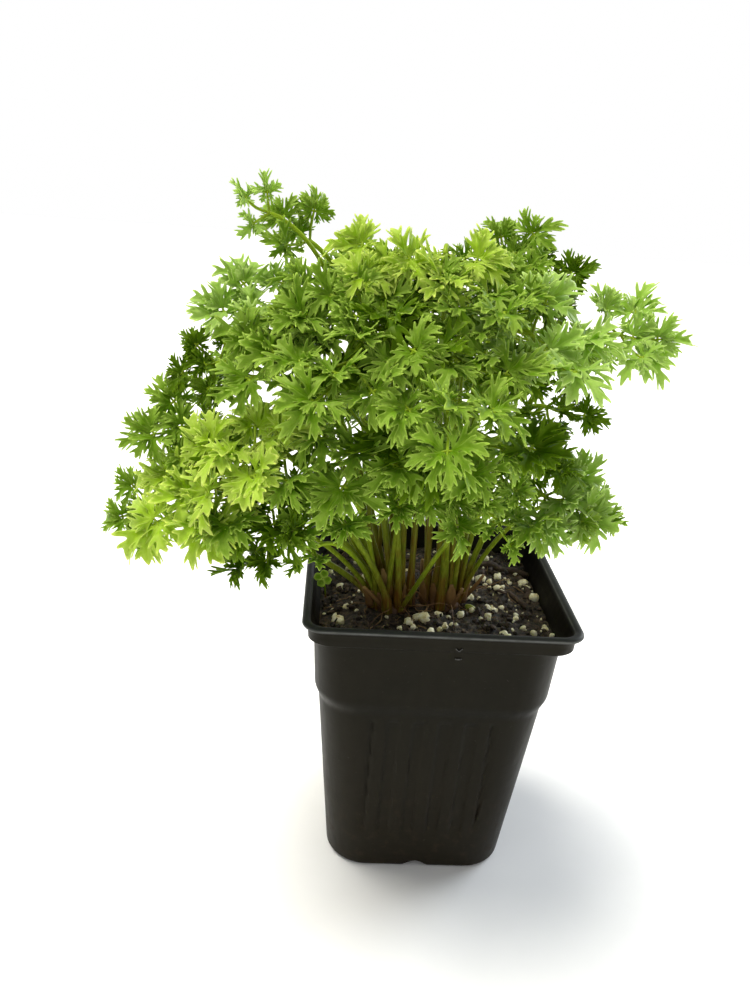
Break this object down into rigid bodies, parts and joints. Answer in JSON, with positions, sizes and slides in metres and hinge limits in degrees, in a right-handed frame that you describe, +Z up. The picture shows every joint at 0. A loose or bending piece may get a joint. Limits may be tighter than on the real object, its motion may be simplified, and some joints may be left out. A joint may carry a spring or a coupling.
{
  "type": "potted parsley",
  "caption": "Leafy parsley plant with long upright stems and divided leaves, growing in a square tapered nursery pot of potting soil.",
  "frame": {"origin": "middle of the pot's flat underside, on the surface it stands on", "axes": "+Z up; -Y is the side the plant leans and faces to, +X to its right"},
  "size_m": [0.2224, 0.1735, 0.2774],
  "materials": {
    "pot_plastic": "thin black moulded plastic with a faint sheen and fine scuffs",
    "soil": "dark crumbly peat, matte, with bark",
    "perlite": "cream-white matte grains",
    "crown": "papery brown sheaths over olive leaf bases",
    "stem": "ribbed fleshy green, faintly glossy",
    "leaf": "soft green, slightly waxy, paler toward the tips",
    "bark": "rough dark bark chips and fibres"
  },
  "bodies": {
    "root": {"nursery_pot": "pot_plastic", "potting_soil": "soil", "crown_left": "crown", "crown_right": "crown", "stem_01": "stem", "leaf_01": "leaf", "stem_02": "stem", "leaf_02": "leaf", "stem_03": "stem", "leaf_03": "leaf", "stem_04": "stem", "leaf_04": "leaf", "stem_05": "stem", "leaf_05": "leaf", "stem_06": "stem", "leaf_06": "leaf", "stem_07": "stem", "leaf_07": "leaf", "stem_08": "stem", "leaf_08": "leaf", "stem_09": "stem", "leaf_09": "leaf", "stem_10": "stem", "leaf_10": "leaf", "stem_11": "stem", "leaf_11": "leaf", "stem_12": "stem", "leaf_12": "leaf", "stem_13": "stem", "leaf_13": "leaf", "stem_14": "stem", "leaf_14": "leaf", "stem_15": "stem", "leaf_15": "leaf", "stem_16": "stem", "leaf_16": "leaf", "stem_17": "stem", "leaf_17": "leaf", "stem_18": "stem", "leaf_18": "leaf", "stem_19": "stem", "leaf_19": "leaf", "stem_20": "stem", "leaf_20": "leaf", "stem_21": "stem", "leaf_21": "leaf", "stem_22": "stem", "leaf_22": "leaf", "stem_23": "stem", "leaf_23": "leaf", "stem_24": "stem", "leaf_24": "leaf", "stem_25": "stem", "leaf_25": "leaf", "stem_26": "stem", "leaf_26": "leaf", "stem_27": "stem", "leaf_27": "leaf", "stem_28": "stem", "leaf_28": "leaf"}
  },
  "joints": []
}
